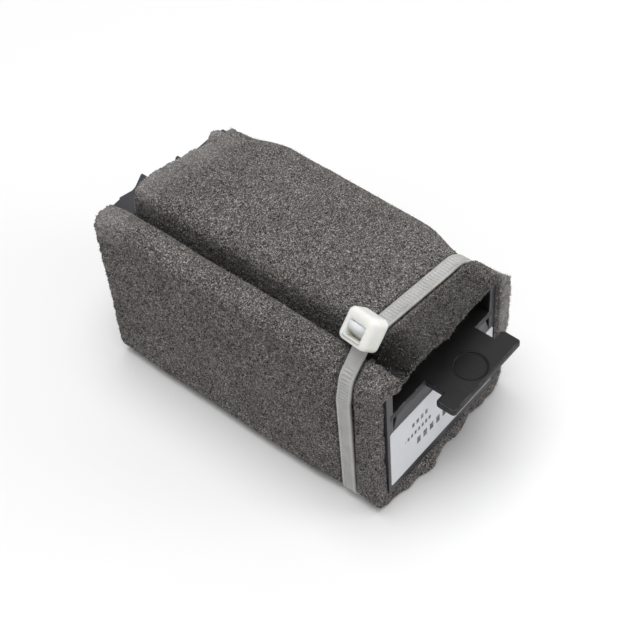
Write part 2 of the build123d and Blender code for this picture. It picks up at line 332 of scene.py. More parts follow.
# The strip's two ends meet at the seam. FRONT_EDGE and BACK_EDGE are its cut edges, ON_TOP the height
# above which it lies over the housing, FLAP_X the middle of the flap at its back right corner, and
# THINNEST the least sponge over the housing. The tie's pull spreads by PULL_REACH along y, and the strap
# lies in a groove of GROOVE_DEPTH. CELL is the size of the open cells in the mesh.
SEAM_LEFT, SEAM_RIGHT = -15.95, -15.2
FRONT_EDGE, BACK_EDGE = -37.0, 41.0
ON_TOP = 41.0
FLAP_X = 14.3
SPONGE_T = 4.2
THINNEST = 0.9
PULL_REACH = 4.4
GROOVE_DEPTH = 0.86
CELL = 0.8
FLOOR_GAP = 0.02
STRUT_COUNT = 21000
side = sponge_high[0]

# the inner skin, just off the housing
inner_x = housing_high[0] + 0.1
inner_low = housing_low[2] - 0.05
inner_high = housing_high[2] + 0.1
INNER_CORNER = 0.3
OUTER_SKIN, CUT_EDGE, INNER_SKIN = 0, 1, 2

# The sponge's outer line in x and z, from the seam down the left side and round to the seam again:
# away from the tie, and where the tie pulls it in
free_line = [
    (SEAM_LEFT, 42.3), (-16.5, 46.9), (-side, 47.2), (-side, 0.0), (side, 0.0), (side, 42.0),
    (17.2, 45.9), (3.0, 49.2), (-11.6, 49.6), (SEAM_RIGHT, 42.1),
]
free_radii = [0, 1.6, 3.6, 4.2, 4.2, 7.0, 8.0, 20.0, 5.0, 0]
tied_line = [
    (SEAM_LEFT, 42.3), (-16.4, 45.3), (-21.4, 40.4), (-21.75, 1.5), (21.75, 1.5), (21.75, 37.4),
    (16.6, 43.3), (4.0, 45.2), (-10.8, 47.3), (SEAM_RIGHT, 42.1),
]
tied_radii = [0, 0.9, 4.0, 3.2, 3.2, 6.0, 5.0, 20.0, 2.5, 0]


def cut_edges(x, z, flat):
    """Where the strip's front and back cut edges lie: not straight, and torn at the bottom front."""
    stations = len(x)
    early = np.arange(stations) < stations // 2
    left = smooth_step(-18.5, -22.0, x) * smooth_step(45.5, 40.0, z)
    low = smooth_step(6.0, 1.0, z)
    torn = low * smooth_step(23.0, 14.0, np.abs(x))
    right_low = smooth_step(12.0, 21.0, x) * smooth_step(14.0, 2.0, z)
    front = FRONT_EDGE + 0.38 * value_noise(flat, 9.0, 3) + 0.22 * value_noise(flat, 2.6, 4)
    front += 1.55 * np.maximum(left, low * smooth_step(-12.0, -21.0, x)) + 0.9 * right_low
    front += torn * (0.1 + 0.95 * value_noise(flat, 5.0, 5) + 0.45 * value_noise(flat, 1.9, 8))
    front -= 0.8 * smooth_step(-19.0, -17.0, x) * smooth_step(44.0, 46.0, z) * early

    top = smooth_step(42.0, 45.0, z)
    over = smooth_step(32.0, 44.5, z) * ~early
    back = BACK_EDGE - 0.7 * smooth_step(0.0, 20.0, x) + 0.4 * value_noise(flat, 11.0, 6)
    back -= over * (2.1 + 0.9 * smooth_step(-6.0, 11.0, x) + 2.6 * smooth_step(-12.0, SEAM_RIGHT, x))
    back += over * (1.3 * smooth_step(2.0, 7.0, x) + 0.8 * np.exp(-((x - FLAP_X) / 2.3) ** 2))
    back -= 4.6 * smooth_step(-18.2, -16.2, x) * top * early
    return front, back


def shaped_heights(height, y, x_free, z_free, late):
    """Heights of one station's outer skin. The top droops towards its back right corner, where a small
    flap turns up, and rolls down at the front. The end that comes to the seam from the right sags below
    the other end. late is true for the second half of the way round."""
    upper = smooth_step(30.0, 43.0, z_free) * smooth_step(-19.0, -12.0, x_free)
    droop = 1.5 * smooth_step(-17.0, 0.0, x_free) + 2.5 * smooth_step(-3.0, 10.0, x_free)
    height = height - upper * droop * smooth_step(22.0, 38.5, y)
    roll = smooth_step(38.0, 44.0, z_free) * smooth_step(-30.2, -37.3, y)
    lifted = 1.7 * math.exp(-((x_free - 18.0) / 4.0) ** 2) * late * (z_free > 38.0)
    height = height + (lifted * smooth_step(-29.6, -31.5, y) - (1.1 + 1.3 * late) * roll)
    if z_free > ON_TOP:
        sag = 2.1 * late * smooth_step(-7.0, -11.0, x_free)
        height = height - sag * smooth_step(-29.4, -32.0, y)
        flap = math.exp(-((x_free - FLAP_X) / 2.0) ** 4) * late
        height = height + 1.9 * flap * smooth_step(35.0, 38.0, y)
        if abs(x_free) < housing_high[0] + 0.5:
            height = np.maximum(height, inner_high + THINNEST)
    return height


def sponge_grid(step, edge_rows):
    """The strip as a block of points: along the wrap, and round its section from front to back."""
    counts = [max(a, b) for a, b in zip(span_counts(free_line, free_radii, step),
                                        span_counts(tied_line, tied_radii, step))]
    free, _ = rounded_corners(free_line, free_radii, counts)
    tied, _ = rounded_corners(tied_line, tied_radii, counts)
    along = np.gradient(tied, axis=0)
    outward = np.stack([-along[:, 1], along[:, 0]], 1)
    outward /= np.linalg.norm(outward, axis=1, keepdims=True)
    middle = np.array((0.0, 24.0))
    outward *= np.sign(np.sum(outward * (tied - middle), axis=1))[:, None]
    stations = len(free)
    flat = np.stack([free[:, 0], np.zeros(stations), free[:, 1]], 1)
    front, back = cut_edges(free[:, 0], free[:, 1], flat)

    rows = int(round((sponge_high[1] - sponge_low[1]) / step))
    inner_rows = 16
    loops = []
    late = np.arange(stations) > stations // 2
    for i in range(stations):
        y = np.linspace(front[i], back[i], rows + 1)
        away = np.maximum(np.abs(y - strap_y) - strap_half, 0.0)
        pull = np.exp(-away ** 2 / (2 * PULL_REACH ** 2))
        groove = 1.0 - smooth_step(0.05, 0.95, away)
        outer = free[i] * (1 - pull[:, None]) + (tied[i] + 0.8 * outward[i]) * pull[:, None]
        outer -= GROOVE_DEPTH * outward[i] * groove[:, None]
        outer[:, 1] = shaped_heights(outer[:, 1], y, *free[i], late[i])
        outer_points = np.stack([outer[:, 0], y, outer[:, 1]], 1)
        core_x = np.clip(outer[:, 0], -inner_x + INNER_CORNER, inner_x - INNER_CORNER)
        core_z = np.clip(outer[:, 1], inner_low + INNER_CORNER, inner_high - INNER_CORNER)
        core = np.stack([core_x, y, core_z], 1)
        off = outer_points - core
        off[:, 1] = 0
        inner_points = core + INNER_CORNER * off / np.linalg.norm(off, axis=1, keepdims=True)
        picks = np.linspace(rows, 0, inner_rows + 1).round().astype(int)
        t = np.linspace(0, 1, edge_rows + 1)[1:-1, None]
        bulge = 0.35 * np.sin(np.pi * t) * np.array((0, 1, 0))
        back_edge = outer_points[-1] * (1 - t) + inner_points[-1] * t + bulge
        front_edge = inner_points[0] * (1 - t) + outer_points[0] * t - bulge
        loops.append(np.concatenate([outer_points, back_edge, inner_points[picks], front_edge]))
    loops = np.array(loops)
    kinds = np.concatenate([np.full(rows + 1, OUTER_SKIN), np.full(edge_rows - 1, CUT_EDGE),
                            np.full(inner_rows + 1, INNER_SKIN), np.full(edge_rows - 1, CUT_EDGE)])
    return loops, kinds


def sponge_marks(verts, late, pore):
    """What the material reads: open cells, painted shade in the seam and the gaps beside it, painted shade
    on the front roll, and painted backlight on the right front fringe and the back top.
    """
    x, y, z = verts.T
    # painted shade: the seam, the top piece's end beside it and the gap at the front, darkened as if in
    # shadow
    seam = np.exp(-((x - (SEAM_LEFT + SEAM_RIGHT) / 2) / 1.2) ** 2) * smooth_step(47.8, 44.4, z)
    slant = -8.5 - 2.5 * smooth_step(5.0, 30.0, y)
    under = late * smooth_step(slant, -14.8, x) * smooth_step(49.5, 46.0, z)
    gap = late * smooth_step(-6.5, -12.5, x) * smooth_step(-28.5, -31.5, y) * smooth_step(40.0, 42.0, z)
    painted_crease_shade = np.maximum(seam, np.maximum(0.85 * under, 0.85 * gap)) * (z > ON_TOP)
    # painted shade: the front roll of the top darkened as if shadowed
    painted_front_shade = late * smooth_step(-29.7, -31.6, y) * smooth_step(38.0, 42.0, z) * smooth_step(20.0, 12.0, x)
    # painted backlight: the right front fringe and the back top edge lightened as if lit through from
    # behind
    painted_backlight = smooth_step(18.6, 20.6, x) * smooth_step(-33.5, -36.8, y) * smooth_step(16.0, 26.0, z)
    painted_backlight = np.maximum(painted_backlight, 0.45 * smooth_step(30.0, 39.0, y) * smooth_step(40.0, 43.0, z))
    return (("pore", pore), ("painted_crease_shade", painted_crease_shade), ("painted_front_shade", painted_front_shade), ("painted_backlight", painted_backlight))


def make_sponge(step):
    """The strip as a closed block, with its lumps and the larger open cells in its skin."""
    loops, kinds = sponge_grid(step, edge_rows=max(5, int(round(SPONGE_T / step))))
    stations, ring = loops.shape[:2]
    index = np.arange(stations * ring).reshape(stations, ring)
    a = index[:-1]
    b = index[1:]
    quads = np.stack([a, np.roll(a, -1, 1), np.roll(b, -1, 1), b], -1).reshape(-1, 4)
    faces = quads.tolist() + [index[0].tolist()[::-1], index[-1].tolist()]
    verts = loops.reshape(-1, 3)
    kind = np.tile(kinds, stations)
    piece = new_mesh("sponge_strip", verts, faces)
    face_outward(piece)
    normals = mesh_normals(piece)

    # slow lumps, then open cells: struts stay near the surface and the windows between them sink
    lumps = 0.20 * value_noise(verts, 13.0, 20) + 0.12 * value_noise(verts, 5.5, 21)
    warp = np.stack([value_noise(verts, 1.1, 30 + axis) for axis in range(3)], 1) * 0.2
    nearest, second = cell_distances(verts + warp, CELL)
    window = smooth_step(0.04, 0.34, second - nearest)
    deep = smooth_step(0.15, 0.85, value_noise(verts, CELL, 40) * 0.5 + 0.5)
    pore = window * (0.35 + 0.65 * deep)
    strength = np.where(kind == INNER_SKIN, 0.0, np.where(kind == CUT_EDGE, 0.60, 0.46))
    relief = lumps * (kind != INNER_SKIN) - pore * strength + 0.16 * strength
    moved = verts + normals * relief[:, None]
    moved[:, 2] = np.maximum(moved[:, 2], FLOOR_GAP)
    piece.data.vertices.foreach_set("co", (moved * MM).ravel())
    late = np.repeat(np.arange(stations) > stations // 2, ring)
    for name, values in sponge_marks(verts, late, pore):
        attribute = piece.data.attributes.new(name, "FLOAT", "POINT")
        attribute.data.foreach_set("value", values)
    piece.data.update()
    return piece, moved, normals, kind


def sponge_material():
    """Reticulated foam: pale struts over dark windows, with finer cells than the mesh can hold."""
    n = Nodes("open_cell_sponge")
    pore = n.attribute("pore")
    cells = n.voronoi(1700.0, "F1")
    pit = n.ramp(cells, [(0.20, 1.0), (0.50, 0.0)])
    webs = n.voronoi(2400.0, "DISTANCE_TO_EDGE")
    web = n.ramp(webs, [(0.04, 1.0), (0.16, 0.0)])
    fine = n.voronoi(3300.0, "F1")
    speck = n.ramp(fine, [(0.16, 1.0), (0.34, 0.0)])
    open_cell = n.ramp(n.noise(1500.0, 2.0, 0.6), [(0.42, 0.0), (0.55, 1.0)])
    base = n.ramp(pore, [(0.1, (0.118, 0.108, 0.102)), (0.5, (0.076, 0.070, 0.066)),
                         (0.95, (0.030, 0.027, 0.025))])
    holes = n.ramp(n.voronoi(1150.0, "F1"), [(0.16, 1.0), (0.26, 0.0)])
    hole = n.math("MULTIPLY", holes, n.ramp(n.noise(620.0, 2.0, 0.6), [(0.50, 0.0), (0.56, 1.0)]))
    dark = n.math("MAXIMUM", n.math("MULTIPLY", pit, open_cell), hole)
    colour = n.mix(n.math("MULTIPLY", dark, 0.97), base, (0.006, 0.0055, 0.005))
    lit = n.math("MULTIPLY", web, n.ramp(n.noise(2600.0, 2.0, 0.6), [(0.46, 0.0), (0.58, 1.0)]))
    colour = n.mix(lit, colour, (0.50, 0.475, 0.455))
    glint = n.math("MULTIPLY", speck, n.ramp(n.noise(1300.0, 3.0, 0.7), [(0.54, 0.0), (0.64, 1.0)]))
    colour = n.mix(glint, colour, (0.78, 0.75, 0.72))
    tone = n.ramp(n.noise(95.0, 3.0, 0.5), [(0.3, 0.84), (0.7, 1.03)])
    colour = n.mix(1.0, colour, tone, "MULTIPLY")
    # painted shade on the front roll of the top
    colour = n.mix(n.math("MULTIPLY", n.attribute("painted_front_shade"), 0.62), colour, (0.016, 0.015, 0.014))
    # painted backlight on the right front fringe and the back top edge
    colour = n.mix(n.math("MULTIPLY", n.attribute("painted_backlight"), 0.6), colour, (0.50, 0.48, 0.47))
    # painted shade in the seam and the gaps beside it
    n.colour(n.mix(n.math("MULTIPLY", n.attribute("painted_crease_shade"), 0.9), colour, (0.005, 0.0047, 0.0045)))
    n.set(Roughness=0.8, Specular_IOR_Level=0.16, Sheen_Weight=0.10, Sheen_Roughness=0.5)
    height = n.math("SUBTRACT", web, dark)
    n.normal(n.bump(height, 0.9, 0.13))
    return n.material


def strut_material():
    n = Nodes("sponge_strut")
    tone = n.noise(700.0, 2.0, 0.6)
    n.colour(n.ramp(tone, [(0.3, (0.13, 0.122, 0.115)), (0.7, (0.46, 0.44, 0.42))]))
    n.rough(n.ramp(n.noise(300.0), [(0.3, 0.45), (0.7, 0.65)]))
    n.normal(n.bump(n.noise(2500.0), 0.4, 0.05))
    n.set(Specular_IOR_Level=0.4)
    return n.material


def make_struts(points, normals, kind, count):
    """Loose ends of struts on the sponge's skin and cut edges: short thin bars, each closed."""
    rng = np.random.default_rng(SEED)
    fringe = smooth_step(19.0, 22.0, points[:, 0]) * smooth_step(-33.0, -36.0, points[:, 1])
    on_edge = np.where(kind == CUT_EDGE, 3.0 + 9.0 * fringe, 0.0)
    weight = np.where(kind == OUTER_SKIN, 1.0 + 5.0 * fringe, on_edge)
    away = np.maximum(np.abs(points[:, 1] - strap_y) - strap_half, 0.0)
    weight = weight * (away > 0.4) * (points[:, 2] > 0.8)
    chosen = rng.choice(len(points), count, p=weight / weight.sum())
    lean = rng.normal(0, 0.8, (count, 3))
    heading = normals[chosen] + lean
    heading /= np.linalg.norm(heading, axis=1, keepdims=True)
    length = rng.uniform(0.22, 0.62, count)
    thick = rng.uniform(0.035, 0.062, count)
    start = points[chosen] - normals[chosen] * 0.12
    across = np.cross(heading, rng.normal(0, 1, (count, 3)))
    across /= np.linalg.norm(across, axis=1, keepdims=True)
    third = np.cross(heading, across)
    rings = []
    for level, size in ((0.0, 1.0), (0.55, 0.8), (1.0, 0.45)):
        bend = across * (0.12 * level ** 2)
        centre = start + (heading * level + bend) * length[:, None]
        for corner in range(3):
            turn = 2 * math.pi * corner / 3
            spoke = across * math.cos(turn) + third * math.sin(turn)
            rings.append(centre + spoke * (thick * size)[:, None])
    verts = np.stack(rings, 1).reshape(-1, 3)
    verts[:, 2] = np.maximum(verts[:, 2], FLOOR_GAP)
    faces = []
    pattern = [(2, 1, 0), (6, 7, 8)]
    for level in (0, 3):
        for corner in range(3):
            after = (corner + 1) % 3
            pattern.append((level + corner, level + after, level + 3 + after, level + 3 + corner))
    for k in range(count):
        faces += [tuple(9 * k + v for v in face) for face in pattern]
    return new_mesh("sponge_struts", verts, faces, smooth=False)


SPONGE_STEP = 0.3
sponge, skin, skin_normals, skin_kind = make_sponge(SPONGE_STEP)
dress(sponge, sponge_material())
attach(sponge, "cassette")
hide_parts("sponge_wrap")

struts = make_struts(skin, skin_normals, skin_kind, STRUT_COUNT)
dress(struts, strut_material())
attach(struts, "cassette")


# ---------------------------------------------------------------------------------------------------
# Cable tie
# ---------------------------------------------------------------------------------------------------
# The head stands on its base point, tilted about y and leaning back. Its slot runs from SLOT_LOW to
# SLOT_HIGH along the head, and the strap's tail comes up through it at TAIL_U.
TILT = math.radians(45.0)
LEAN = math.radians(12.0)
HEAD_BASE = np.array((-12.8, strap_y, 49.1))
HEAD_L, HEAD_W, HEAD_T = 7.35, 7.9, 4.85
SLOT_LOW, SLOT_HIGH, SLOT_W = -2.45, 1.0, 4.3
TAIL_U = 0.3
TAIL_SUNK = 0.35
RIB_PITCH = 0.86
RIB_DEPTH = 0.17
head_along = np.array((math.cos(TILT), 0.0, math.sin(TILT)))
head_upright = np.array((-math.sin(TILT), 0.0, math.cos(TILT)))
head_out = head_upright * math.cos(LEAN) + np.array((0.0, math.sin(LEAN), 0.0))
head_across = np.cross(head_out, head_along)


def head_xz(along, up):
    point = HEAD_BASE + head_along * along + head_upright * up
    return (point[0], point[2])


# The strap's middle line in x and z: from its root at the head's low end down the left side, round
# below and up the right side, and through the head's slot
strap_line = [
    head_xz(-HEAD_L / 2 + 0.6, STRAP_T / 2), head_xz(-HEAD_L / 2 - 7.3, STRAP_T / 2), (-22.4, 35.2),
    (-22.4, 0.95), (22.4, 0.95), (22.4, 34.0), (20.4, 40.4), (16.1, 44.05), head_xz(TAIL_U, -1.5),
    head_xz(TAIL_U, HEAD_T - TAIL_SUNK),
]
strap_radii = [0, 4.0, 4.0, 3.6, 3.6, 8.0, 8.0, 6.0, 1.5, 0]


def make_strap():
    """The strap with its smooth borders, its ladder of ribs, and a smooth stretch next to the head."""
    path, _ = rounded_corners(strap_line, strap_radii, None, 0.11)
    run = np.concatenate([[0.0], np.cumsum(np.linalg.norm(np.diff(path, axis=0), axis=1))])
    tangent = np.gradient(path, axis=0)
    tangent /= np.linalg.norm(tangent, axis=1, keepdims=True)
    # the line runs down the left side first, so its right-hand side faces away from the sponge
    outward = np.stack([tangent[:, 1], -tangent[:, 0]], 1)
    total = run[-1]
    border = 0.62
    right_v = np.array([0.3, 0.60, 0.66, 0.74, 0.88, 0.97, 1.0])
    outer_v = np.concatenate([-right_v[::-1], [0.0], right_v])
    right_drop = np.array([0.0, 0.0, 0.0, 0.0, 0.0, 0.10, 0.30])
    edge_drop = np.concatenate([right_drop[::-1], [0.0], right_drop])
    inner_v = np.array([0.96, 0.6, 0.0, -0.6, -0.96])
    inner_drop = np.array([0.16, 0.0, 0.0, 0.0, 0.16])
    in_channel = (np.abs(outer_v) <= border).astype(float)
    phase = (run % RIB_PITCH) / RIB_PITCH
    rib = smooth_step(0.0, 0.18, phase) * smooth_step(0.62, 0.44, phase)
    plain = np.maximum(1.0 - smooth_step(4.8, 6.2, run), smooth_step(total - 7.4, total - 6.6, run))
    sunk = RIB_DEPTH * (1.0 - np.maximum(rib, plain))
    wander = 0.4 * np.sin(np.pi * run / total)
    verts = []
    for i in range(len(path)):
        into_head = max(0.0, run[i] - (total - HEAD_T)) * math.tan(LEAN)
        # the cut tail is spread a little, short of the pawl's tip at its furthest bend
        burr = smooth_step(total - 0.36, total - 0.26, run[i])
        up_outer = STRAP_T / 2 - edge_drop - in_channel * sunk[i] + 0.12 * burr
        up_inner = -STRAP_T / 2 - 0.5 * burr + inner_drop
        v = np.concatenate([outer_v, inner_v]) * strap_half * (1.0 + 0.15 * burr)
        up = np.concatenate([up_outer, up_inner])
        y = strap_y + v + into_head - wander[i]
        verts.append(np.stack([path[i][0] + outward[i][0] * up, y, path[i][1] + outward[i][1] * up], 1))
    verts = np.array(verts)
    stations, ring = verts.shape[:2]
    index = np.arange(stations * ring).reshape(stations, ring)
    quads = np.stack([index[:-1], np.roll(index[:-1], -1, 1), np.roll(index[1:], -1, 1), index[1:]], -1)
    faces = quads.reshape(-1, 4).tolist() + [index[0].tolist()[::-1], index[-1].tolist()]
    piece = new_mesh("tie_strap_ribbed", verts.reshape(-1, 3), faces)
    face_outward(piece)
    cut_tail = smooth_step(total - HEAD_T - 1.2, total - HEAD_T - 0.2, run)
    attribute = piece.data.attributes.new("tail", "FLOAT", "POINT")
    attribute.data.foreach_set("value", np.repeat(cut_tail, ring))
    return piece


def rounded_loop(half_u, half_v, radius, centre_u=0.0, per_corner=8, per_side=6):
    """Points round a rounded rectangle, always the same number."""
    points = []
    for corner, (su, sv) in enumerate(((1, 1), (-1, 1), (-1, -1), (1, -1))):
        for k in range(per_corner + 1):
            turn = math.pi / 2 * (corner + k / per_corner)
            points.append((centre_u + su * (half_u - radius) + radius * math.cos(turn),
                           sv * (half_v - radius) + radius * math.sin(turn)))
        after = ((-1, 1), (-1, -1), (1, -1), (1, 1))[corner]
        turn = math.pi / 2 * (corner + 1)
        end = (centre_u + after[0] * (half_u - radius) + radius * math.cos(turn),
               after[1] * (half_v - radius) + radius * math.sin(turn))
        start = points[-1]
        for k in range(1, per_side):
            t = k / per_side
            points.append((start[0] * (1 - t) + end[0] * t, start[1] * (1 - t) + end[1] * t))
    return np.array(points)


def make_head():
    """The tie's head: a rounded block whose slot goes right through, with a sunk lip round its mouth."""
    levels = []

    def outer(inset, height):
        radius = max(0.35, 1.35 - inset * 0.5)
        levels.append((rounded_loop(HEAD_L / 2 - inset, HEAD_W / 2 - inset, radius), height))

    def slot(grow, height):
        middle = (SLOT_LOW + SLOT_HIGH) / 2
        half_u = (SLOT_HIGH - SLOT_LOW) / 2 + grow
        levels.append((rounded_loop(half_u, SLOT_W / 2 + grow, 0.4 + grow * 0.5, middle), height))

    for turn in range(0, 4):
        angle = math.pi / 2 * turn / 3
        outer(0.5 * (1 - math.sin(angle)), 0.5 * (1 - math.cos(angle)))
    outer(0.0, 0.9)
    outer(0.04, HEAD_T - 1.5)
    for turn in range(0, 8):
        angle = math.pi / 2 * turn / 7
        outer(0.04 + 1.15 * (1 - math.cos(angle)), HEAD_T - 1.2 + 1.2 * math.sin(angle))
    lip = ((0.40, 0.02), (0.28, 0.10), (0.20, 0.22), (0.10, 0.34), (0.02, 0.42), (0.0, 0.7))
    for grow, below_top in lip:
        slot(grow, HEAD_T - below_top)
    for grow, height in ((0.0, 0.3), (0.1, 0.05), (0.3, 0.0)):
        slot(grow, height)
    verts = []
    for loop, height in levels:
        for u, v in loop:
            verts.append(HEAD_BASE + head_along * u + head_across * v + head_out * height)
    verts = np.array(verts)
    ring = len(levels[0][0])
    count = len(levels)
    index = np.arange(count * ring).reshape(count, ring)
    following = np.roll(index, -1, 0)
    quads = np.stack([index, np.roll(index, -1, 1), np.roll(following, -1, 1), following], -1)
    piece = new_mesh("tie_head_moulded", verts, quads.reshape(-1, 4).tolist())
    face_outward(piece)
    wobble = 0.03 * value_noise(verts, 2.2, 60)
    moved = verts + mesh_normals(piece) * wobble[:, None]
    piece.data.vertices.foreach_set("co", (moved * MM).ravel())
    piece.data.update()
    return piece


def nylon(name, shade, cloudy, weight):
    """Natural nylon: milky and slightly warm, so light soaks in and rims glow."""
    n = Nodes(name)
    cloud = n.ramp(n.noise(260.0, 3.0, 0.55), [(0.3, shade), (0.7, cloudy)])
    n.colour(n.mix(n.attribute("tail"), cloud, (0.86, 0.86, 0.83)))
    gloss = n.ramp(n.noise(900.0, 3.0, 0.6), [(0.3, 0.30), (0.7, 0.44)])
    n.rough(n.mix(n.attribute("tail"), gloss, (0.62, 0.62, 0.62)))
    n.normal(n.bump(n.noise(1400.0, 3.0, 0.6), 0.25, 0.02))
    n.set(Subsurface_Weight=weight, Subsurface_Scale=0.0026, Specular_IOR_Level=0.5, IOR=1.53)
    n.shader.inputs["Subsurface Radius"].default_value = (1.0, 0.85, 0.62)
    return n.material


strap = make_strap()
dress(strap, nylon("tie_strap_nylon", (0.36, 0.36, 0.355), (0.46, 0.455, 0.44), 0.5))
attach(strap, "cassette")
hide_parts("tie_strap")
head = make_head()
head_nylon = nylon("tie_head_nylon", (0.76, 0.765, 0.735), (0.82, 0.82, 0.79), 0.95)
dress(head, head_nylon)
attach(head, "cassette")
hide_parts("tie_head")

# ---------------------------------------------------------------------------------------------------
# Filter media: a fibre pad and a net bag of carbon
# ---------------------------------------------------------------------------------------------------
def soft_block(name, node, round_mm, step, relief):
    """A rounded, lumpy block on a CAD node's box. relief gives how far each point stands out."""
    low, high = box_mm(node)
    low = low + 0.5
    high = high - 0.5
    bm = bmesh.new()
    bmesh.ops.create_cube(bm, size=1.0)
    cuts = int(max(high - low) / step)
    bmesh.ops.subdivide_edges(bm, edges=bm.edges, cuts=cuts, use_grid_fill=True)
    verts = np.array([v.co for v in bm.verts]) * (high - low) + (high + low) / 2
    faces = [[v.index for v in f.verts] for f in bm.faces]
    bm.free()
    core = np.clip(verts, low + round_mm, high - round_mm)
    off = verts - core
    reach = np.linalg.norm(off, axis=1, keepdims=True)
    heading = off / np.maximum(reach, 1e-6)
    verts = core + heading * round_mm
    verts = verts + heading * relief(verts)[:, None]
    piece = new_mesh(name, verts, faces)
    face_outward(piece)
    return piece


def floss_relief(points):
    squashed = points * np.array((1.0, 1.0, 3.0))
    return 0.30 * value_noise(points, 6.0, 70) + 0.22 * value_noise(squashed, 1.2, 71) - 0.05


def carbon_relief(points):
    nearest, second = cell_distances(points, 2.3, 80)
    return 0.45 * smooth_step(0.0, 0.5, second - nearest) - 0.15 + 0.2 * value_noise(points, 9.0, 81)


def floss_material():
    n = Nodes("polyester_floss")
    fibre = n.noise(700.0, 5.0, 0.75, stretch=(0.25, 1.0, 1.6))
    n.colour(n.ramp(fibre, [(0.3, (0.55, 0.57, 0.58)), (0.6, (0.82, 0.84, 0.85))]))
    n.rough(n.ramp(n.noise(200.0), [(0.3, 0.75), (0.7, 0.92)]))
    n.normal(n.bump(fibre, 0.9, 0.25))
    n.set(Sheen_Weight=0.4, Subsurface_Weight=0.2, Subsurface_Scale=0.001)
    return n.material


def carbon_material():
    """Black granules seen through a fine white net."""
    n = Nodes("netted_carbon")
    grain = n.voronoi(430.0, "F1", "Color")
    base = n.ramp(grain, [(0.2, 0.010), (0.8, 0.035)])
    mesh = n.voronoi(1100.0, "DISTANCE_TO_EDGE")
    thread = n.ramp(mesh, [(0.03, 1.0), (0.07, 0.0)])
    n.colour(n.mix(n.math("MULTIPLY", thread, 0.7), base, (0.55, 0.55, 0.53)))
    n.rough(n.ramp(n.noise(500.0), [(0.3, 0.4), (0.7, 0.75)]))
    n.normal(n.bump(n.math("ADD", thread, n.voronoi(430.0)), 0.8, 0.2))
    n.set(Specular_IOR_Level=0.4)
    return n.material


for name, node, slot_name, round_mm, step, relief, material, fill in (
        ("floss_block", "floss_pad", "floss_fibre", 1.5, 0.5, floss_relief, floss_material(), 0.5),
        ("carbon_bag", "carbon_pouch", "pouch_mesh", 3.5, 0.55, carbon_relief, carbon_material(), 0.9)):
    block = soft_block(name, node, round_mm, step, relief)
    dress(block, material)
    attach(block, "cassette")
    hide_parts(node)


# ---------------------------------------------------------------------------------------------------
# Hard pieces that keep their CAD shape
# ---------------------------------------------------------------------------------------------------
# the finger dimple: its middle across and in from the tab's front, its radius and half the width of the
# painted shadow ring round its edge
DIMPLE_X = 2.85
DIMPLE_IN = 4.6
DIMPLE_R = 3.7
DIMPLE_RIM_SHADOW = 0.4

# the housing's and the cap's plastic, and how far inside the housing's outer faces its painted shade begins
CHARCOAL = ((0.030, 0.031, 0.034), (0.043, 0.044, 0.049), 0.42)
SHADE_FROM_SIDE = 1.9
SHADE_FROM_FRONT = 0.3


def plate_material():
    """Near-black plate plastic with light worn edges; the finger dimple is darker, inside a black ring of
    painted shadow.
    """
    material = moulded_plastic("charcoal_plate", (0.012, 0.012, 0.013), (0.021, 0.021, 0.023), 0.5,
                               edge_mm=0.4, wear=1.0, worn=14.0)
    n = Nodes(material=material)
    low, _ = box_mm("slide_plate")
    x, y, _ = n.axes()
    dx = n.math("SUBTRACT", x, DIMPLE_X * MM)
    dy = n.math("SUBTRACT", y, (low[1] + DIMPLE_IN) * MM)
    away = n.math("SQRT", n.math("ADD", n.math("MULTIPLY", dx, dx), n.math("MULTIPLY", dy, dy)))
    inside = n.math("LESS_THAN", away, DIMPLE_R * MM)
    off_rim = n.math("ABSOLUTE", n.math("SUBTRACT", away, DIMPLE_R * MM))
    rim_shadow = n.math("LESS_THAN", off_rim, DIMPLE_RIM_SHADOW * MM)
    painted = n.shader.inputs["Base Color"].links[0].from_socket
    painted = n.mix(n.math("MULTIPLY", inside, 0.45), painted, (0.008, 0.008, 0.009))
    # painted shadow: a black ring round the dimple's edge
    n.colour(n.mix(n.math("MULTIPLY", rim_shadow, 0.85), painted, (0.004, 0.004, 0.004)))
    n.set(Specular_IOR_Level=0.32)
    return material


def label_material():
    """White label with three rows of plain dark blocks in place of print."""
    low, high = box_mm("front_label")
    n = Nodes("label_paper")
    x, _, z = n.axes()

    def near(value, centre_mm, half_mm):
        off = n.math("ABSOLUTE", n.math("SUBTRACT", value, centre_mm * MM))
        return n.math("LESS_THAN", off, half_mm * MM)

    tone = n.ramp(n.noise(120.0, 3.0, 0.5), [(0.3, (0.63, 0.635, 0.665)), (0.7, (0.68, 0.685, 0.715))])
    ink = None
    middle = (low + high) / 2
    # rows of plain dark blocks: place of the row's middle, its half length and height, block pitch
    for across, rise, half_long, half_high, pitch in (
            (-8.1, 4.4, 2.7, 0.7, 1.55), (-8.5, 1.1, 4.7, 0.62, 1.25), (-3.9, -2.9, 5.4, 1.15, 2.3)):
        long = near(x, middle[0] + across, half_long)
        high_enough = near(z, middle[2] + rise, half_high)
        part = n.math("FRACT", n.math("DIVIDE", x, pitch * MM))
        row = n.math("MULTIPLY", n.math("MULTIPLY", long, high_enough), n.math("LESS_THAN", part, 0.55))
        ink = row if ink is None else n.math("MAXIMUM", ink, row)
    worn = n.ramp(n.noise(900.0, 2.0, 0.6), [(0.34, 0.55), (0.46, 0.92)])
    printed = n.math("MULTIPLY", ink, worn)
    n.colour(n.mix(printed, tone, (0.05, 0.05, 0.055)))
    n.rough(n.ramp(n.noise(400.0), [(0.3, 0.42), (0.7, 0.55)]))
    n.normal(n.bump(n.noise(2200.0, 3.0, 0.6), 0.15, 0.015))
    n.set(Specular_IOR_Level=0.4)
    return n.material


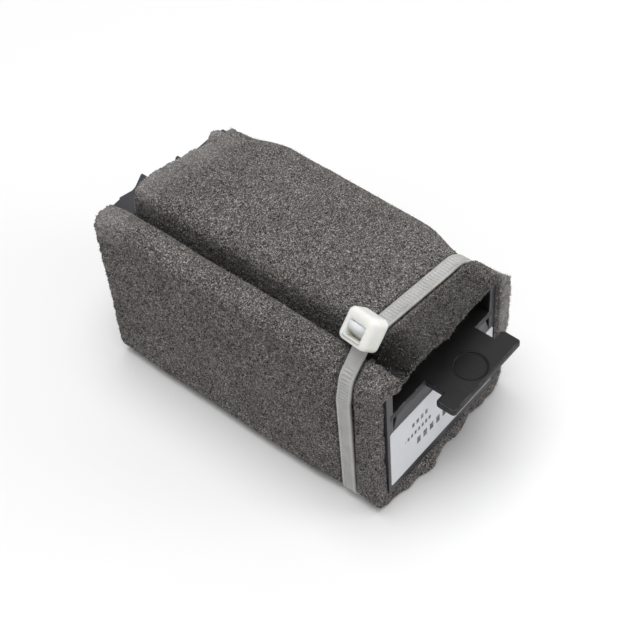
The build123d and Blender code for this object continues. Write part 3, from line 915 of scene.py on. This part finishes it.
def rubber():
    n = Nodes("seal_rubber")
    n.colour(n.ramp(n.noise(300.0), [(0.3, (0.016, 0.016, 0.017)), (0.7, (0.028, 0.028, 0.030))]))
    n.rough(n.ramp(n.noise(500.0), [(0.3, 0.55), (0.7, 0.72)]))
    n.normal(n.bump(n.noise(2500.0), 0.3, 0.02, n.soft_edges(0.12)))
    return n.material


def steel():
    n = Nodes("screw_steel")
    brushed = n.noise(900.0, 4.0, 0.6, stretch=(1.0, 1.0, 0.15))
    n.colour(n.ramp(brushed, [(0.3, (0.50, 0.50, 0.49)), (0.7, (0.66, 0.66, 0.64))]))
    n.rough(n.ramp(brushed, [(0.3, 0.24), (0.7, 0.38)]))
    n.normal(n.bump(brushed, 0.3, 0.015, n.soft_edges(0.1)))
    n.set(Metallic=1.0)
    return n.material


def ceramic():
    n = Nodes("porous_ceramic")
    pits = n.voronoi(1700.0)
    speckle = n.noise(900.0, 4.0, 0.7)
    base = n.ramp(speckle, [(0.3, (0.52, 0.46, 0.38)), (0.7, (0.72, 0.67, 0.59))])
    n.colour(n.mix(n.ramp(pits, [(0.10, 0.8), (0.26, 0.0)]), base, (0.25, 0.21, 0.17)))
    n.rough(n.ramp(speckle, [(0.3, 0.82), (0.7, 0.95)]))
    n.normal(n.bump(pits, 0.7, 0.12))
    return n.material


def housing_material():
    """Housing plastic, darkened by painted shade on the faces inside."""
    material = moulded_plastic("charcoal_housing", *CHARCOAL)
    n = Nodes(material=material)
    x, y, _ = n.axes()
    between_walls = n.math("LESS_THAN", n.math("ABSOLUTE", x), (housing_high[0] - SHADE_FROM_SIDE) * MM)
    behind_front = n.math("GREATER_THAN", y, (housing_low[1] + SHADE_FROM_FRONT) * MM)
    painted_inner_shade = n.math("MULTIPLY", between_walls, behind_front)
    painted = n.shader.inputs["Base Color"].links[0].from_socket
    # painted shade: the faces inside the housing darkened as if in the cavity's shadow
    n.colour(n.mix(n.math("MULTIPLY", painted_inner_shade, 0.8), painted, (0.007, 0.007, 0.007)))
    return material


housing_plastic = housing_material()
cap_plastic = moulded_plastic("charcoal_cap", *CHARCOAL)
divider_plastic = moulded_plastic("grey_divider", (0.055, 0.056, 0.060), (0.075, 0.076, 0.080), 0.55,
                                  wear=0.2)
mesh_nylon = moulded_plastic("black_mesh", (0.020, 0.020, 0.022), (0.034, 0.034, 0.037), 0.5,
                             edge_mm=0.1, wear=0.2)
finishes = {
    housing_plastic: ("housing",),
    cap_plastic: ("rear_cap",),
    plate_material(): ("slide_plate",),
    label_material(): ("front_label",),
    rubber(): ("rear_gasket", "outlet_gasket"),
    mesh_nylon: ("outlet_grille", "floor_screen", "side_screen_left", "side_screen_right"),
    divider_plastic: ("divider_front", "divider_rear"),
    steel(): ("cap_screws",),
    ceramic(): ("ceramic_rings",),
    head_nylon: ("tie_pawl",),
}
for material, names in finishes.items():
    for name in names:
        dress(nodes[name], material)

# ---------------------------------------------------------------------------------------------------
# Floor, light and camera
# ---------------------------------------------------------------------------------------------------
CAMERA_AZIMUTH = math.radians(-47.0)
CAMERA_ELEVATION = math.radians(51.01)
CAMERA_ROLL = math.radians(-4.785)
CAMERA_TARGET = Vector((0.0, -2.1, 20.7)) * MM
CAMERA_DISTANCE = 371.97 * MM
LENS_LENGTH = 93.07
WORLD_STRENGTH = 0.47


def make_floor():
    half = 2500.0
    corners = [(-half, -half, 0), (half, -half, 0), (half, half, 0), (-half, half, 0)]
    floor = new_mesh("studio_floor", corners, [(0, 1, 2, 3)], smooth=False)
    n = Nodes("studio_white")
    n.colour(n.ramp(n.noise(3.0, 2.0, 0.5), [(0.3, (0.90, 0.90, 0.90)), (0.7, (0.92, 0.92, 0.92))]))
    n.set(Roughness=0.9, Specular_IOR_Level=0.1)
    dress(floor, n.material)


def soft_light(name, place_mm, aim_mm, size_mm, watts):
    data = bpy.data.lights.new(name, "AREA")
    data.shape = "DISK"
    data.size = size_mm * MM
    data.energy = watts
    lamp = bpy.data.objects.new(name, data)
    place = Vector(place_mm) * MM
    lamp.location = place
    lamp.rotation_euler = (Vector(aim_mm) * MM - place).to_track_quat("-Z", "Y").to_euler()
    bpy.context.collection.objects.link(lamp)


def make_world():
    world = bpy.data.worlds.new("studio_air")
    world.use_nodes = True
    background = world.node_tree.nodes["Background"]
    background.inputs["Color"].default_value = (1.0, 1.0, 1.0, 1.0)
    background.inputs["Strength"].default_value = WORLD_STRENGTH
    bpy.context.scene.world = world


def make_camera():
    """A long lens from the front left, above the tab end, held a little off level."""
    level = Vector((math.sin(CAMERA_AZIMUTH), -math.cos(CAMERA_AZIMUTH), 0.0))
    back = level * math.cos(CAMERA_ELEVATION) + Vector((0.0, 0.0, math.sin(CAMERA_ELEVATION)))
    right = Vector((math.cos(CAMERA_AZIMUTH), math.sin(CAMERA_AZIMUTH), 0.0))
    up = back.cross(right)
    across = right * math.cos(CAMERA_ROLL) + up * math.sin(CAMERA_ROLL)
    above = up * math.cos(CAMERA_ROLL) - right * math.sin(CAMERA_ROLL)
    data = bpy.data.cameras.new("camera")
    data.sensor_width = 36.0
    data.lens = LENS_LENGTH
    data.clip_start = 0.01
    camera = bpy.data.objects.new("camera", data)
    turned = Matrix((across, above, back)).transposed().to_4x4()
    camera.matrix_world = Matrix.Translation(CAMERA_TARGET + back * CAMERA_DISTANCE) @ turned
    bpy.context.collection.objects.link(camera)
    bpy.context.scene.camera = camera


make_floor()
make_world()
soft_light("overhead_softbox", (-30, 20, 780), (0, 0, 20), 560, 4.2)
soft_light("front_softbox", (420, -600, 240), (0, 0, 20), 380, 1.2)
make_camera()
bpy.context.scene.view_settings.view_transform = "Standard"
